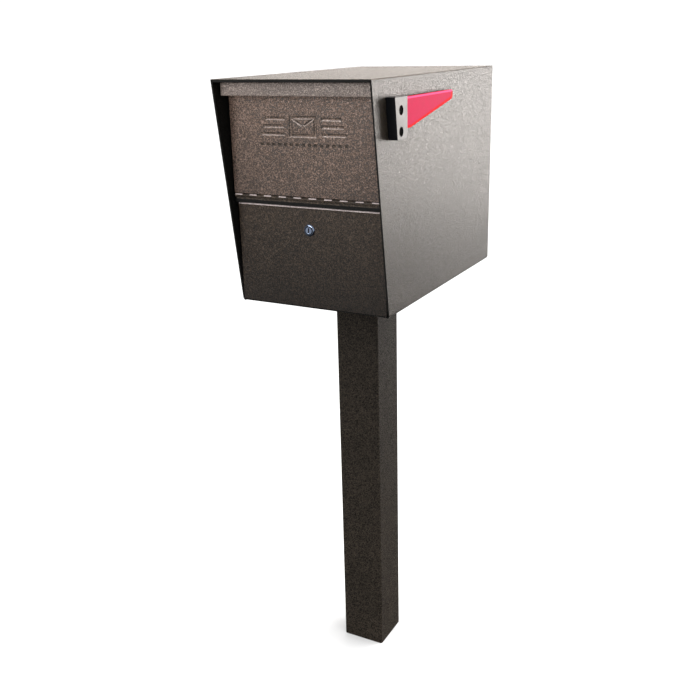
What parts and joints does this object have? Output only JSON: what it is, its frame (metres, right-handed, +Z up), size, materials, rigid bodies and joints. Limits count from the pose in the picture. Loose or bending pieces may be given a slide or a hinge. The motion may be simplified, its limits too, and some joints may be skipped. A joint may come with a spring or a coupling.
{
  "type": "curbside locking parcel mailbox",
  "caption": "Locking curbside mailbox on a square post: slanted sheet-metal hood, pull-down hopper door with baffle, keyed drop-down access door and side signal flag.",
  "frame": {"origin": "centre of the post's foot, on the ground", "axes": "+Z up along the post; the doors face -Y; +X to the right of someone facing the doors, where the flag is"},
  "size_m": [0.322, 0.548, 1.221],
  "materials": {
    "bronze_coat": "hammered bronze powder coat",
    "post_coat": "hammered bronze powder coat, darker",
    "zinc_steel": "zinc-plated steel",
    "chrome_plate": "bright chrome",
    "black_rubber": "moulded rubber",
    "black_plastic": "moulded",
    "black_steel": "black, satin",
    "flag_plastic": "fluorescent red sheet, glossy"
  },
  "bodies": {
    "box_and_post": {"body_wrap": "bronze_coat", "roof_panel": "bronze_coat", "back_panel": "bronze_coat", "crossbar": "bronze_coat", "header_angle": "bronze_coat", "header_bumpers": "black_rubber", "hopper_stop_pins": "black_rubber", "door_jambs": "bronze_coat", "lock_strike": "zinc_steel", "hopper_hinge_frame_leaf": "zinc_steel", "hopper_hinge_pin": "zinc_steel", "access_hinge_frame_leaf": "zinc_steel", "access_hinge_pin": "zinc_steel", "flag_bracket": "black_plastic", "flag_pivot_rivet": "black_steel", "flag_bracket_rivet": "black_steel", "post_tube": "post_coat", "post_top_plate": "post_coat", "post_sole_plate": "post_coat", "mounting_bolts": "zinc_steel", "mounting_washers": "zinc_steel", "mounting_nuts": "zinc_steel"},
    "hopper_door": {"hopper_door_skin": "bronze_coat", "hopper_pull_lip": "bronze_coat", "hopper_hinge_door_leaf": "zinc_steel", "hopper_cheek_left": "bronze_coat", "hopper_cheek_right": "bronze_coat", "hopper_baffle": "bronze_coat"},
    "access_door": {"access_door_skin": "bronze_coat", "access_door_stiffener": "bronze_coat", "access_hinge_door_leaf": "zinc_steel", "lock_body": "chrome_plate", "lock_nut": "zinc_steel"},
    "lock_core": {"lock_plug": "chrome_plate", "lock_cam": "zinc_steel", "lock_cam_screw": "zinc_steel"},
    "flag_arm": {"flag": "flag_plastic"}
  },
  "joints": [
    {"name": "hopper_hinge", "type": "hinge", "parent": "box_and_post", "child": "hopper_door", "pos_m": [0, -0.2232, 1.02], "axis": [1, 0, 0], "range_deg": [0, 60]},
    {"name": "access_hinge", "type": "hinge", "parent": "box_and_post", "child": "access_door", "pos_m": [0, -0.2089, 0.8231], "axis": [1, 0, 0], "range_deg": [0, 100]},
    {"name": "lock_turn", "type": "hinge", "parent": "access_door", "child": "lock_core", "pos_m": [0, -0.213, 0.964], "axis": [0, 1, 0], "range_deg": [0, 90]},
    {"name": "flag_pivot", "type": "hinge", "parent": "box_and_post", "child": "flag_arm", "pos_m": [0.1619, -0.1945, 1.1696], "axis": [1, 0, 0], "range_deg": [0, 90]}
  ]
}
